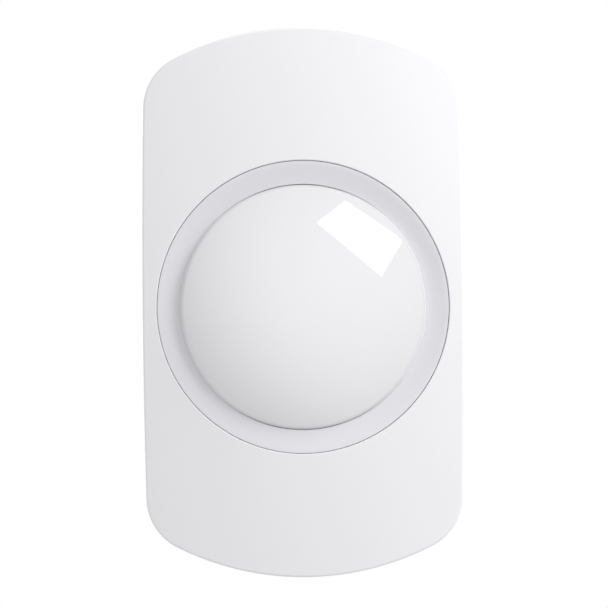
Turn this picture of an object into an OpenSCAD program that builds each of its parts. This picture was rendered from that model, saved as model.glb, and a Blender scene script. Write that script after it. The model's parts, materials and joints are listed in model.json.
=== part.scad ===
// Wall-mounted passive infrared motion sensor: a shallow base that screws to the wall,
// a circuit board in the base, and a front cover that carries a domed lens and swings open
// on two hooks at its top edge. Millimetres: +X right, +Z up, and the wall is the plane Y = 0,
// with the lens facing -Y.

/* [Body] */
// Width of the front cover
body_w = 63.6; // [63:0.1:66]
// Height of the body, from the top of one arch to the bottom of the other
body_h = 109; // [108:0.5:114]
// Distance from the wall to the middle of the cover's front face
face_depth = 33.5; // [33:0.1:36]
// Radius of the arched top and bottom edges
arch_r = 56.8; // [54:0.1:60]
// Radius of the four corners of the outline
corner_r = 11; // [9:0.1:12]
// Radius of the front face from side to side
bow_r = 150; // [140:5:300]
// Radius of the front face from top to bottom
crown_r = 500; // [450:10:900]
// Wall thickness of the front cover
cover_wall = 2; // [1.8:0.1:2.1]

/* [Lens] */
// How far the lens sits below the middle of the body
lens_drop = 0.95; // [0:0.05:1.5]
// Outer radius of the dished bezel
bezel_r = 28.8; // [28:0.1:28.8]
// Radius of the lens dome where it meets the bezel
dome_r = 24.3; // [24:0.1:24.3]
// Distance from the wall to the top of the dome
dome_depth = 40.5; // [38:0.5:44]
// Thickness of the lens
dome_wall = 1; // [0.8:0.1:1.2]

/* [Base] */
// Depth of the base, from the wall to the parting line
base_depth = 12; // [12:0.1:12.5]
// Wall thickness of the base
base_wall = 2.4; // [2:0.1:2.5]
// Width of the flat back between the two 45 degree corner faces
back_w = 45; // [42:1:46]
// Distance between the two wall screw holes
wall_screw_pitch = 91; // [90:0.5:92]
// Radius of a wall screw hole
wall_screw_r = 2.1; // [1.8:0.1:2.4]
// Radius of the cable hole through the grommet
cable_r = 2.4; // [1.5:0.1:2.6]

/* [Electronics] */
// Width of the circuit board
board_w = 50; // [49:0.5:51]
// Height of the circuit board
board_h = 79; // [78:0.5:80]
// Distance from the wall to the back of the circuit board
board_level = 10; // [9.5:0.1:10]
// Travel of one DIP switch slider
dip_travel = 1.9; // [1.5:0.1:1.9]

/* [Hidden] */
$fn = 96;
eps = 0.01;
tall = 60;

// Outline: half widths, the arch centre and the corner centre
half_w = body_w / 2;
half_h = body_h / 2;
arch_y = half_h - arch_r;
corner_x = half_w - corner_r;
corner_y = arch_y + sqrt(pow(arch_r - corner_r, 2) - pow(corner_x, 2));
corner_sweep = atan2(corner_y - arch_y, corner_x);
corner_steps = 8;
arch_steps = 6;

// Parting line between the base and the cover
parting_gap = 0.1;
base_reveal = 0.3;
lip_clear = 0.15;
lip_t = 1.2;
lip_h = 1.6;
lip_root = 9;
base_half_w = half_w - base_reveal;

// Lens stack, as distances from the wall
lens_y = -lens_drop;
bezel_gap = 0.2;
opening_r = bezel_r + bezel_gap;
dome_base = 31.6;
sphere_r = (pow(dome_r, 2) + pow(dome_depth - dome_base, 2)) / (2 * (dome_depth - dome_base));
sphere_z = dome_depth - sphere_r;
bezel_in_r = dome_r + 0.15;
rim_round = 0.5;
rim_drop = [0.15, 0.35];
dish_drop = 1.1;
bezel_seat_r = bezel_r - 1.4;
flange_r = opening_r + 0.6;
collar_r = opening_r + 1.9;
lens_flange_z = [26.5, 27.5];
seal_z = [25.6, 26.5];
flange_z = [25, 26];
collar_z = 26.1;
retainer_z = [23.2, 24.9];
seal_r = [24.6, bezel_seat_r - 0.4];
retainer_in_r = 23.4;
ear_r = 3.2;
ear_at = 33;
ear_angles = [50, 130, 230, 310];
boss_r = 3;
tapping_hole_r = 1.05;
tapping_core_r = 1;

// Circuit board levels
board_t = 1.6;
board_top = board_level + board_t;
fixing_x = 21;
fixing_y = 35.5;
post_r = 3;
pin_r = 1.2;
board_hole_r = 1.3;

// Cover screw at the bottom, parallel to the wall
screw_z = 8.4;
screw_r = 1.45;
screw_head_r = 2.8;
screw_head_h = 1.75;
pad_y = -(half_h - 4.3);
pocket_y = -(half_h - 2.3);
pocket_r = 3.2;
slot_r = 1.7;
lug_w = 9;
lug_y = [pad_y + 0.4, pad_y + 4.6];
lug_z = [5.6, 17];
clip_y = [lug_y[1] + 1.65, lug_y[1] + 2.15];
clip_groove_r = 1.1;
clip_r = 2.6;

// Hooks at the top: arcs about the line on which the cover swings, at the top of the parting line
swing_y = half_h;
swing_z = base_depth;
hook_x = 9;
hook_w = 4;
hook_pad_w = 5.8;
hook_r = [5.2, 6.4];
hook_tip_angle = 50;
hook_sweep = 130;
hook_pad_y = swing_y - 4.9;
hook_pad_z = 5.6;
hook_pocket_y = swing_y - 3;
hook_pocket_z = [6.8, 11];

// Wall and cable holes
wall_screw_boss_r = 4.5;
wall_screw_boss_h = 2.8;
cable_x = 13;
cable_y = 43.5;
knockout_r = 3.2;
knockout_depth = 1.2;
corner_knockout_y = 28;
corner_knockout_r = 2.6;
grommet_hole_r = 3.4;

// Pan-head tapping screws
pan_head = [2.4, 1.5];
board_screw_l = 7;
retainer_screw_l = 5.2;
recess_w = 0.5;
recess_depth = 0.8;

// Sensor, as heights above the board
sensor_pin_circle_r = 2.54;
sensor_pin_r = 0.25;
sensor_pin_tail = 3;
sensor_flange = [4.6, 0.6, 1.1];
sensor_can_r = 4.1;
sensor_can_h = 3.9;
sensor_can_wall = 0.3;
sensor_window_size = [4.2, 3.2, 0.3];
sensor_window_gap = 0.05;
sensor_plate = [4.4, 4.4, 1.2];
sensor_element = [1, 2, 0.3];
hood_r = [6.6, 9.6];
hood_wall = [1.2, 1];
hood_h = 6;

// Small parts on the board: places of their middles, and sizes
led_at = [11.5, -12];
led_r = 1.5;
led_flange = [1.75, 0.6];
led_shoulder = 2.2;
relay_x = [-17.5, -8];
relay_y = 21.3;
relay_size = [6.4, 8.6, 3.4];
controller_at = [-15, -10];
controller_size = [8, 8, 1.4];
amplifier_at = [14.5, 4.4];
amplifier_size = [3.9, 8.7, 1.5];
regulator_at = [-15.8, 5.8];
regulator_size = [6.5, 3.5, 1.6];
crystal_at = [-19.4, -19.5];
crystal_size = [3.2, 5, 1.1];
capacitor_x = [4, 11];
capacitor_y = 21.5;
capacitor_r = 2.5;
capacitor_h = 5.4;
chip_size = [1.6, 0.8, 0.6];
chip_columns_x = [19, 22.2];
chip_columns_y = -19.6;
chip_column_pitch = 2.6;
chip_rows = [[-20.7, 12.9, 6], [9.8, 13.9, 4]];
chip_row_pitch = 3.1;

// Terminals and switches
sensor_y = lens_y;
terminal_y = 33;
terminal_ways = 8;
terminal_pitch = 3.81;
terminal_w = terminal_ways * terminal_pitch;
terminal_d = 7.6;
terminal_mouth_y = terminal_y + terminal_d / 2;
terminal_h = 9;
terminal_step = [1.2, 5.4];
terminal_well_r = 1.5;
terminal_screw_y = terminal_y - 0.6;
terminal_screw_head = [1.35, 1.3];
terminal_screw_shank = [0.9, 2.3];
terminal_screw_z = board_top + 6.6;
clamp_size = [2.4, 4.8, 0.5];
wire_way = [2.7, 5.5, 3];
wire_way_z = board_top + 1;
dip_y = -32;
dip_size = [6.6, 11.2, 3.4];
dip_pitch = 2.54;
dip_slider = [1.4, 1.1, 1.5];
dip_slot_depth = 1.2;
slider_gap = 0.05;
trimmer_at = [14, -33];
trimmer_size = 6.6;
trimmer_h = 4;
trimmer_rotor_r = 2.2;
trimmer_rotor_h = 1.4;
trimmer_seat_depth = 1;
trimmer_slot = [3.2, 0.5, 0.7];
trimmer_notch = 0.8;
tamper_at = [-14, -33];
tamper_size = 6.5;
tamper_h = 3.4;
tamper_stem_r = 1;
tamper_stem_foot = 1.4;
tamper_cap_r = 2.3;
tamper_top = board_top + 5.9;
tamper_cap_h = 0.6;
spring_r = 1.7;
spring_wire_r = 0.2;
spring_turns = 3;
spring_gap = 0.03;
post_rib = [7, 1.2, 3];

// Points of a quarter of the outline, from the right side up to the top, moved in by inset
function quarter(inset) = concat(
    [for (i = [0:corner_steps]) let (a = corner_sweep * i / corner_steps)
        [corner_x + (corner_r - inset) * cos(a), corner_y + (corner_r - inset) * sin(a)]],
    [for (i = [1:arch_steps]) let (a = corner_sweep + (90 - corner_sweep) * i / arch_steps)
        [(arch_r - inset) * cos(a), arch_y + (arch_r - inset) * sin(a)]]);

function reversed(list) = [for (i = [len(list) - 1:-1:0]) list[i]];
function all_but_first(list) = [for (i = [1:len(list) - 1]) list[i]];
function flip_x(list) = [for (p = list) [-p[0], p[1]]];
function flip_y(list) = [for (p = list) [p[0], -p[1]]];

function upper_half(inset) = let (q = quarter(inset)) concat(q, all_but_first(flip_x(reversed(q))));
function outline_points(inset) = let (u = upper_half(inset)) concat(u, flip_y(reversed(u)));

// Distance from the wall to the front face over a point
function face_z(x, y) = let (ring = crown_r - bow_r + sqrt(pow(bow_r, 2) - pow(x, 2)))
    face_depth - crown_r + sqrt(pow(ring, 2) - pow(y, 2));

// Everything is drawn looking at the wall, x right, y up and z out, and then stood up
module from_wall() {
    rotate([90, 0, 0]) children();
}

module outline(inset) {
    polygon(outline_points(inset));
}

// The cover's outer form moved in by inset, from the level z0 forwards
module skin(inset, z0) {
    intersection() {
        translate([0, 0, z0]) linear_extrude(face_depth + 5 - z0) outline(inset);
        translate([0, 0, face_depth - crown_r]) rotate([0, -90, 0]) rotate([0, 0, -10])
            rotate_extrude(angle = 20, $fn = 250)
                translate([crown_r - bow_r, 0]) circle(r = bow_r - inset, $fn = 250);
    }
}

// A cylinder along y, from y0 up to y1, at the given x and z
module along_y(x, z, y0, y1, r) {
    translate([x, y0, z]) rotate([-90, 0, 0]) cylinder(r = r, h = y1 - y0);
}

module block(x, y, z) {
    translate([x[0], y[0], z[0]]) cube([x[1] - x[0], y[1] - y[0], z[1] - z[0]]);
}

module tube(r_out, r_in, z) {
    difference() {
        translate([0, 0, z[0]]) cylinder(r = r_out, h = z[1] - z[0]);
        translate([0, 0, z[0] - 1]) cylinder(r = r_in, h = z[1] - z[0] + 2);
    }
}

// The cross-section of the base with its 45 degree faces, moved in by inset
module corner_faces(inset) {
    side = base_half_w - inset;
    back = back_w / 2 - inset * sqrt(2);
    rotate([90, 0, 0]) linear_extrude(body_h + 20, center = true)
        polygon([[-side, 30], [-side, side - back], [-(inset + back), inset],
                 [inset + back, inset], [side, side - back], [side, 30]]);
}

module base_tray() {
    difference() {
        intersection() {
            linear_extrude(base_depth) outline(base_reveal);
            corner_faces(0);
        }
        intersection() {
            translate([0, 0, base_wall]) linear_extrude(tall) outline(base_reveal + base_wall);
            corner_faces(base_wall);
        }
    }
}

module base_lip() {
    inset = cover_wall + lip_clear;
    difference() {
        translate([0, 0, lip_root]) linear_extrude(base_depth + lip_h - lip_root) outline(inset);
        translate([0, 0, lip_root - 1]) linear_extrude(tall) outline(inset + lip_t);
        for (side = [-1, 1])
            block([side * hook_x - hook_pad_w / 2, side * hook_x + hook_pad_w / 2],
                  [0, half_h], [lip_root - 2, tall]);
        block([-lug_w / 2 - 0.8, lug_w / 2 + 0.8], [-half_h, 0], [lip_root - 2, tall]);
    }
}

// Thicker wall round the cover screw and behind each hook, kept inside the base's outer form
module base_pads() {
    intersection() {
        linear_extrude(base_depth) outline(base_reveal + 0.5);
        union() {
            block([-6, 6], [-half_h, pad_y], [base_wall - 1, base_depth]);
            for (side = [-1, 1])
                block([side * hook_x - hook_pad_w / 2, side * hook_x + hook_pad_w / 2],
                      [hook_pad_y, half_h], [hook_pad_z, base_depth]);
        }
    }
}

module board_post(side, top) {
    translate([side * fixing_x, top * fixing_y, base_wall - 0.5]) {
        cylinder(r = post_r, h = board_level - base_wall + 0.5);
        if (side == top) cylinder(r = pin_r, h = board_level - base_wall + 3);
    }
}

// A U-shaped cut that is open towards the front, for the cover screw's head or its shank
module open_slot(r, y) {
    along_y(0, screw_z, y[0], y[1], r);
    block([-r, r], y, [screw_z, tall]);
}

module rear_base() {
    color("whitesmoke") from_wall() difference() {
        union() {
            base_tray();
            base_lip();
            base_pads();
            for (side = [-1, 1], top = [-1, 1]) board_post(side, top);
            for (top = [-1, 1])
                translate([0, top * wall_screw_pitch / 2, 1])
                    cylinder(r = wall_screw_boss_r, h = wall_screw_boss_h - 1);
            translate([cable_x, cable_y, 1]) cylinder(r = grommet_hole_r + 1, h = base_wall - 1 + 0.4);
        }
        for (top = [-1, 1])
            translate([0, top * wall_screw_pitch / 2, -1]) cylinder(r = wall_screw_r, h = 10);
        for (side = [-1, 1])
            translate([-side * fixing_x, side * fixing_y, base_wall]) cylinder(r = tapping_hole_r, h = tall);
        translate([cable_x, cable_y, -1]) cylinder(r = grommet_hole_r, h = 10);
        for (at = [[-cable_x, cable_y], [-cable_x, -cable_y], [cable_x, -cable_y]])
            translate([at[0], at[1], -1]) cylinder(r = knockout_r, h = 1 + knockout_depth);
        for (side = [-1, 1], top = [-1, 1])
            translate([side * (base_half_w + back_w / 2) / 2, top * corner_knockout_y,
                       (base_half_w - back_w / 2) / 2])
                rotate([0, side * 135, 0]) translate([0, 0, -knockout_depth])
                    cylinder(r = corner_knockout_r, h = 5);
        for (side = [-1, 1])
            block([side * hook_x - hook_w / 2 - 0.4, side * hook_x + hook_w / 2 + 0.4],
                  [hook_pad_y - 1, hook_pocket_y], hook_pocket_z);
        open_slot(pocket_r, [-half_h - 5, pocket_y]);
        open_slot(slot_r, [pocket_y - 1, pad_y + 1]);
    }
}

// Rubber ring gripped by the base's cable hole
module cable_grommet() {
    lip_r = grommet_hole_r + 1.1;
    color("dimgray") from_wall() translate([cable_x, cable_y, 0]) difference() {
        union() {
            cylinder(r = grommet_hole_r, h = base_wall + 0.4);
            translate([0, 0, base_wall + 0.4]) cylinder(r = lip_r, h = 1);
        }
        translate([0, 0, -1]) cylinder(r = cable_r, h = 10);
    }
}

module circuit_board() {
    color("darkgreen") from_wall() difference() {
        translate([0, 0, board_level]) linear_extrude(board_t) difference() {
            square([board_w, board_h], center = true);
            for (side = [-1, 1], top = [-1, 1])
                translate([side * fixing_x, top * fixing_y]) circle(r = board_hole_r);
        }
        for (at = sensor_pins())
            translate([at[0], sensor_y + at[1], 0]) cylinder(r = 0.4, h = tall);
    }
}

// Pan-head tapping screws that hold the board to two of its posts
module board_screws() {
    color("silver") from_wall() for (side = [-1, 1])
        translate([-side * fixing_x, side * fixing_y, board_top]) tapping_screw(board_screw_l);
}

// A pan-head screw standing on z = 0 with its shank below
module tapping_screw(length) {
    head_r = pan_head[0];
    head_h = pan_head[1];
    difference() {
        union() {
            cylinder(r = head_r, h = head_h);
            translate([0, 0, -length]) cylinder(r = tapping_core_r, h = length + eps);
        }
        cross_recess(head_r * 0.62, head_h, recess_depth);
    }
}

module cross_recess(reach, head_h, depth) {
    for (turn = [0, 90])
        rotate([0, 0, turn]) translate([-reach, -recess_w / 2, head_h - depth])
            cube([2 * reach, recess_w, depth + 1]);
}

function sensor_pins() = [for (a = [45, 135, 225])
    [sensor_pin_circle_r * cos(a), sensor_pin_circle_r * sin(a)]];

module sensor_header() {
    color("goldenrod") from_wall() translate([0, sensor_y, board_top]) {
        translate([0, 0, sensor_flange[1]])
            cylinder(r = sensor_flange[0], h = sensor_flange[2] - sensor_flange[1]);
        for (at = sensor_pins())
            translate([at[0], at[1], -sensor_pin_tail])
                cylinder(r = sensor_pin_r, h = sensor_pin_tail + sensor_flange[1] + 0.1);
    }
}

// Ceramic plate with the two sensing elements
module sensor_elements() {
    color("ivory") from_wall() translate([0, sensor_y, board_top + sensor_flange[2]]) {
        translate([-sensor_plate[0] / 2, -sensor_plate[1] / 2, 0]) cube(sensor_plate);
        for (side = [-1, 1])
            translate([side - sensor_element[0] / 2, -sensor_element[1] / 2, sensor_plate[2] - 0.1])
                cube(sensor_element);
    }
}

module sensor_can() {
    window = sensor_window_size;
    color("silver") from_wall() translate([0, sensor_y, board_top + sensor_flange[2]]) difference() {
        cylinder(r = sensor_can_r, h = sensor_can_h);
        translate([0, 0, -1])
            cylinder(r = sensor_can_r - sensor_can_wall, h = sensor_can_h - sensor_can_wall + 1);
        translate([-window[0] / 2, -window[1] / 2, 0]) cube([window[0], window[1], tall]);
    }
}

module sensor_window() {
    window = sensor_window_size;
    gap = sensor_window_gap;
    top = board_top + sensor_flange[2] + sensor_can_h - gap;
    color("dimgray") from_wall()
        block([gap - window[0] / 2, window[0] / 2 - gap],
              [sensor_y + gap - window[1] / 2, sensor_y + window[1] / 2 - gap],
              [top - window[2], top]);
}

// Low funnel round the sensor that keeps draughts and stray light off it
module sensor_hood() {
    color("white") from_wall() translate([0, sensor_y, board_top]) difference() {
        cylinder(r1 = hood_r[0], r2 = hood_r[1], h = hood_h);
        translate([0, 0, -eps])
            cylinder(r1 = hood_r[0] - hood_wall[0], r2 = hood_r[1] - hood_wall[1], h = hood_h + 2 * eps);
    }
}

module status_led() {
    color("lightblue") from_wall() translate([led_at[0], led_at[1], board_top]) {
        cylinder(r = led_flange[0], h = led_flange[1]);
        cylinder(r = led_r, h = led_shoulder);
        translate([0, 0, led_shoulder]) sphere(r = led_r);
    }
}

function terminal_x(i) = (i - (terminal_ways - 1) / 2) * terminal_pitch;

module terminal_block() {
    color("seagreen") from_wall() difference() {
        union() {
            block([-terminal_w / 2, terminal_w / 2],
                  [terminal_y - terminal_d / 2, terminal_mouth_y - terminal_step[0]],
                  [board_top, board_top + terminal_h]);
            block([-terminal_w / 2, terminal_w / 2],
                  [terminal_y, terminal_mouth_y], [board_top, board_top + terminal_step[1]]);
        }
        for (i = [0:terminal_ways - 1]) {
            translate([terminal_x(i) - wire_way[0] / 2, terminal_mouth_y - wire_way[1], wire_way_z])
                cube([wire_way[0], wire_way[1] + 1, wire_way[2]]);
            translate([terminal_x(i), terminal_screw_y, wire_way_z + 1])
                cylinder(r = terminal_well_r, h = tall);
        }
    }
}

module terminal_screws() {
    head = terminal_screw_head;
    shank = terminal_screw_shank;
    color("silver") from_wall() for (i = [0:terminal_ways - 1])
        translate([terminal_x(i), terminal_screw_y, terminal_screw_z]) difference() {
            union() {
                cylinder(r = head[0], h = head[1]);
                translate([0, 0, -shank[1]]) cylinder(r = shank[0], h = shank[1] + eps);
            }
            translate([-2, -recess_w / 2, head[1] - recess_depth + 0.2]) cube([4, recess_w, 1]);
        }
}

// Plates that the screws press down on the wires
module terminal_clamps() {
    top = wire_way_z + wire_way[2] - 0.1;
    front = terminal_y - 1.6;
    color("gold") from_wall() for (i = [0:terminal_ways - 1])
        block([terminal_x(i) - clamp_size[0] / 2, terminal_x(i) + clamp_size[0] / 2],
              [front, front + clamp_size[1]], [top - clamp_size[2], top]);
}

// A plain component body standing on the board
module on_board(at, size) {
    translate([at[0] - size[0] / 2, at[1] - size[1] / 2, board_top]) cube(size);
}

module alarm_relays() {
    color("white") from_wall() for (x = relay_x) on_board([x, relay_y], relay_size);
}

module microcontroller() {
    color("black") from_wall() on_board(controller_at, controller_size);
}

module amplifier_chip() {
    color("black") from_wall() on_board(amplifier_at, amplifier_size);
}

module voltage_regulator() {
    color("black") from_wall() on_board(regulator_at, regulator_size);
}

module crystal() {
    color("silver") from_wall() on_board(crystal_at, crystal_size);
}

module electrolytic_capacitors() {
    color("black") from_wall() for (x = capacitor_x)
        translate([x, capacitor_y, board_top]) cylinder(r = capacitor_r, h = capacitor_h);
}

// Ceramic chip resistors and capacitors in two columns and two rows
module chip_components() {
    color("tan") from_wall() {
        for (x = chip_columns_x, i = [0:4])
            on_board([x, chip_columns_y + chip_column_pitch * i], chip_size);
        for (row = chip_rows, i = [0:row[2] - 1])
            on_board([row[0] + chip_row_pitch * i, row[1]], chip_size);
    }
}

function dip_slot_y(i) = dip_y + (i - 2.5) * dip_pitch;

module dip_switch() {
    slot = [dip_slider[0] + dip_travel + 2 * slider_gap, dip_slider[1] + 2 * slider_gap];
    color("firebrick") from_wall() difference() {
        on_board([0, dip_y], dip_size);
        for (i = [1:4])
            translate([-slot[0] / 2, dip_slot_y(i) - slot[1] / 2, board_top + dip_size[2] - dip_slot_depth])
                cube([slot[0], slot[1], tall]);
    }
}

// Sliders 1 and 3 rest on the left and sliders 2 and 4 on the right
module dip_slider_at(i) {
    x = (i % 2 == 1 ? -1 : 1) * dip_travel / 2;
    color("white") from_wall()
        translate([x - dip_slider[0] / 2, dip_slot_y(i) - dip_slider[1] / 2,
                   board_top + dip_size[2] - dip_slot_depth + slider_gap])
            cube(dip_slider);
}

module trimmer_body() {
    color("royalblue") from_wall() difference() {
        on_board(trimmer_at, [trimmer_size, trimmer_size, trimmer_h]);
        translate([trimmer_at[0], trimmer_at[1], board_top + trimmer_h - trimmer_seat_depth])
            cylinder(r = trimmer_rotor_r + 0.1, h = tall);
    }
}

// Dial of the range control, with a crossed screwdriver slot and a notch as its pointer
module trimmer_rotor() {
    slot = trimmer_slot;
    color("white") from_wall()
        translate([trimmer_at[0], trimmer_at[1], board_top + trimmer_h - trimmer_seat_depth + slider_gap])
            difference() {
                cylinder(r = trimmer_rotor_r, h = trimmer_rotor_h);
                translate([-slot[0] / 2, -slot[1] / 2, slot[2]]) cube([slot[0], slot[1], 1]);
                translate([-slot[1] / 2, -slot[0] / 2, slot[2]]) cube([slot[1], slot[0], 1]);
                translate([0, trimmer_rotor_r, slot[2]]) rotate([0, 0, 45])
                    cube([trimmer_notch, trimmer_notch, 3], center = true);
            }
}

module tamper_switch() {
    color("black") from_wall() difference() {
        on_board(tamper_at, [tamper_size, tamper_size, tamper_h]);
        translate([tamper_at[0], tamper_at[1], board_top + tamper_stem_foot - 0.8])
            cylinder(r = tamper_stem_r + 0.1, h = tall);
    }
}

module tamper_plunger() {
    foot = board_top + tamper_stem_foot;
    color("white") from_wall() translate([tamper_at[0], tamper_at[1], 0]) {
        translate([0, 0, foot]) cylinder(r = tamper_stem_r, h = tamper_top - foot);
        translate([0, 0, tamper_top - tamper_cap_h]) cylinder(r = tamper_cap_r, h = tamper_cap_h);
    }
}

// Rings of the spring's round wire, one after another along its helix
function spring_ring(turn, z0, z1, sides) =
    let (a = 360 * turn, z = z0 + (z1 - z0) * turn / spring_turns)
    [for (k = [0:sides - 1]) let (b = 360 * k / sides, r = spring_r + spring_wire_r * cos(b))
        [r * cos(a), r * sin(a), z + spring_wire_r * sin(b)]];

module tamper_spring() {
    sides = 8;
    steps = 20 * spring_turns;
    z0 = board_top + tamper_h + spring_wire_r + spring_gap;
    z1 = tamper_top - tamper_cap_h - spring_wire_r - spring_gap;
    rings = [for (i = [0:steps]) spring_ring(spring_turns * i / steps, z0, z1, sides)];
    points = [for (ring = rings, p = ring) p];
    side_faces = [for (i = [0:steps - 1], k = [0:sides - 1])
        [i * sides + k, (i + 1) * sides + k,
         (i + 1) * sides + (k + 1) % sides, i * sides + (k + 1) % sides]];
    ends = [[for (k = [0:sides - 1]) k], [for (k = [sides - 1:-1:0]) steps * sides + k]];
    color("silver") from_wall() translate([tamper_at[0], tamper_at[1], 0])
        polyhedron(points = points, faces = concat(side_faces, ends), convexity = 6);
}

// A curved tab that turns about the swing line inside the base's pocket
module hook() {
    start = 90 + 180 + hook_tip_angle - hook_sweep;
    translate([-hook_w / 2, swing_y, swing_z]) rotate([0, 90, 0]) rotate([0, 0, start])
        rotate_extrude(angle = hook_sweep)
            translate([hook_r[0], 0]) square([hook_r[1] - hook_r[0], hook_w]);
}

module screw_lug() {
    block([-lug_w / 2, lug_w / 2], lug_y, lug_z);
    block([-lug_w / 2, lug_w / 2], [-half_h, lug_y[1]], [base_depth + 0.6, lug_z[1]]);
}

module at_ears() {
    for (a = ear_angles)
        translate([ear_at * cos(a), lens_y + ear_at * sin(a), 0]) rotate([0, 0, a]) children();
}

module tamper_post() {
    translate([tamper_at[0], tamper_at[1], tamper_top + 0.1]) {
        cylinder(r = 2, h = tall);
        for (turn = [0, 90])
            rotate([0, 0, turn]) translate([-post_rib[0] / 2, -post_rib[1] / 2, post_rib[2]])
                cube([post_rib[0], post_rib[1], tall]);
    }
}

module front_cover() {
    color("white") from_wall() difference() {
        union() {
            difference() {
                skin(0, base_depth + parting_gap);
                skin(cover_wall, base_depth - 2);
            }
            intersection() {
                skin(cover_wall / 2, 4);
                union() {
                    translate([0, lens_y, collar_z]) cylinder(r = collar_r, h = tall);
                    at_ears() translate([0, 0, flange_z[0]]) cylinder(r = boss_r, h = tall);
                    for (side = [-1, 1]) translate([side * hook_x, 0, 0]) hook();
                    screw_lug();
                    tamper_post();
                }
            }
        }
        translate([0, lens_y, 20]) cylinder(r = opening_r, h = tall);
        at_ears() translate([0, 0, 20]) cylinder(r = tapping_hole_r, h = 9);
        along_y(0, screw_z, lug_y[0] - 1, lug_y[1] + 1, screw_r + 0.05);
    }
}

// Section of the bezel at the angle a, as [radius, level] pairs: a dish whose rim follows the face
function bezel_section(a) =
    let (rim = face_z(bezel_r * cos(a), lens_y + bezel_r * sin(a)))
    [[bezel_in_r, lens_flange_z[1]], [bezel_seat_r, lens_flange_z[1]], [bezel_seat_r, flange_z[0]],
     [flange_r, flange_z[0]], [flange_r, flange_z[1]], [bezel_r, flange_z[1]],
     [bezel_r, rim - rim_drop[0]], [bezel_r - rim_round, rim - rim_drop[1]],
     [bezel_in_r, rim - dish_drop]];

module lens_bezel() {
    steps = 72;
    corners = len(bezel_section(0));
    points = [for (i = [0:steps - 1]) let (a = 360 * i / steps)
        for (p = bezel_section(a)) [p[0] * cos(a), p[0] * sin(a), p[1]]];
    faces = [for (i = [0:steps - 1], k = [0:corners - 1])
        [i * corners + k, ((i + 1) % steps) * corners + k,
         ((i + 1) % steps) * corners + (k + 1) % corners, i * corners + (k + 1) % corners]];
    color("gainsboro") from_wall() translate([0, lens_y, 0])
        polyhedron(points = points, faces = faces, convexity = 6);
}

module lens_dome() {
    color("white") from_wall() translate([0, lens_y, 0]) rotate_extrude() {
        intersection() {
            translate([0, sphere_z]) difference() {
                circle(r = sphere_r);
                circle(r = sphere_r - dome_wall);
            }
            translate([0, dome_base - 0.6]) square([dome_r, 30]);
        }
        translate([dome_r - dome_wall, lens_flange_z[0]]) square([dome_wall, dome_base - lens_flange_z[0]]);
        translate([dome_r - dome_wall, lens_flange_z[0]])
            square([bezel_seat_r - 0.2 - dome_r + dome_wall, lens_flange_z[1] - lens_flange_z[0]]);
    }
}

module lens_seal() {
    color("dimgray") from_wall() translate([0, lens_y, 0]) tube(seal_r[1], seal_r[0], seal_z);
}

// Ring that clamps the lens and the bezel from behind, with four screw ears
module lens_retainer() {
    color("white") from_wall() difference() {
        union() {
            translate([0, lens_y, retainer_z[0]])
                cylinder(r = flange_r, h = retainer_z[1] - retainer_z[0]);
            at_ears() translate([0, 0, retainer_z[0]]) {
                cylinder(r = ear_r, h = retainer_z[1] - retainer_z[0]);
                translate([-6, -ear_r, 0]) cube([6, 2 * ear_r, retainer_z[1] - retainer_z[0]]);
            }
            translate([0, lens_y, retainer_z[0]])
                cylinder(r = seal_r[1], h = seal_z[0] - retainer_z[0]);
        }
        translate([0, lens_y, 0]) cylinder(r = retainer_in_r, h = tall);
        translate([0, lens_y, retainer_z[1]]) cylinder(r = seal_r[0], h = tall);
        at_ears() cylinder(r = board_hole_r, h = tall);
    }
}

module retainer_screws() {
    color("silver") from_wall() at_ears()
        translate([0, 0, retainer_z[0]]) rotate([180, 0, 0]) tapping_screw(retainer_screw_l);
}

module cover_screw() {
    head_y = pocket_y - 0.05;
    color("silver") from_wall() difference() {
        union() {
            along_y(0, screw_z, head_y - screw_head_h, head_y, screw_head_r);
            along_y(0, screw_z, head_y - eps, clip_y[0] - 0.05, screw_r);
            along_y(0, screw_z, clip_y[0] - 0.1, clip_y[1] + 0.1, clip_groove_r);
            along_y(0, screw_z, clip_y[1] + 0.05, clip_y[1] + 0.7, screw_r);
        }
        translate([0, head_y - screw_head_h, screw_z]) rotate([90, 0, 0]) cross_recess(1.7, 0, 1);
    }
}

// Retaining clip that keeps the slackened screw in the cover
module screw_clip() {
    color("silver") from_wall() difference() {
        along_y(0, screw_z, clip_y[0], clip_y[1], clip_r);
        along_y(0, screw_z, clip_y[0] - 1, clip_y[1] + 1, clip_groove_r + 0.08);
        block([-0.9, 0.9], [clip_y[0] - 1, clip_y[1] + 1], [screw_z, screw_z + 5]);
    }
}

rear_base();
cable_grommet();
circuit_board();
board_screws();
sensor_header();
sensor_elements();
sensor_can();
sensor_window();
sensor_hood();
status_led();
terminal_block();
terminal_screws();
terminal_clamps();
alarm_relays();
microcontroller();
amplifier_chip();
voltage_regulator();
crystal();
electrolytic_capacitors();
chip_components();
dip_switch();
dip_slider_at(1);  // dip_slider_1
dip_slider_at(2);  // dip_slider_2
dip_slider_at(3);  // dip_slider_3
dip_slider_at(4);  // dip_slider_4
trimmer_body();
trimmer_rotor();
tamper_switch();
tamper_plunger();
tamper_spring();
front_cover();
lens_bezel();
lens_dome();
lens_seal();
lens_retainer();
retainer_screws();
cover_screw();
screw_clip();
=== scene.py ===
"""Wall-mounted passive infrared motion sensor: the looks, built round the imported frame.

Shapes are drawn in the body's own millimetres, x right, y up and z out from the wall, and
row() turns them into the frame's metres. Places come from the CAD nodes' boxes."""

import json
from math import asin, atan2, copysign, cos, degrees, hypot, pi, radians, sin, sqrt

import bmesh
import bpy
from mathutils import Matrix, Vector


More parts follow.
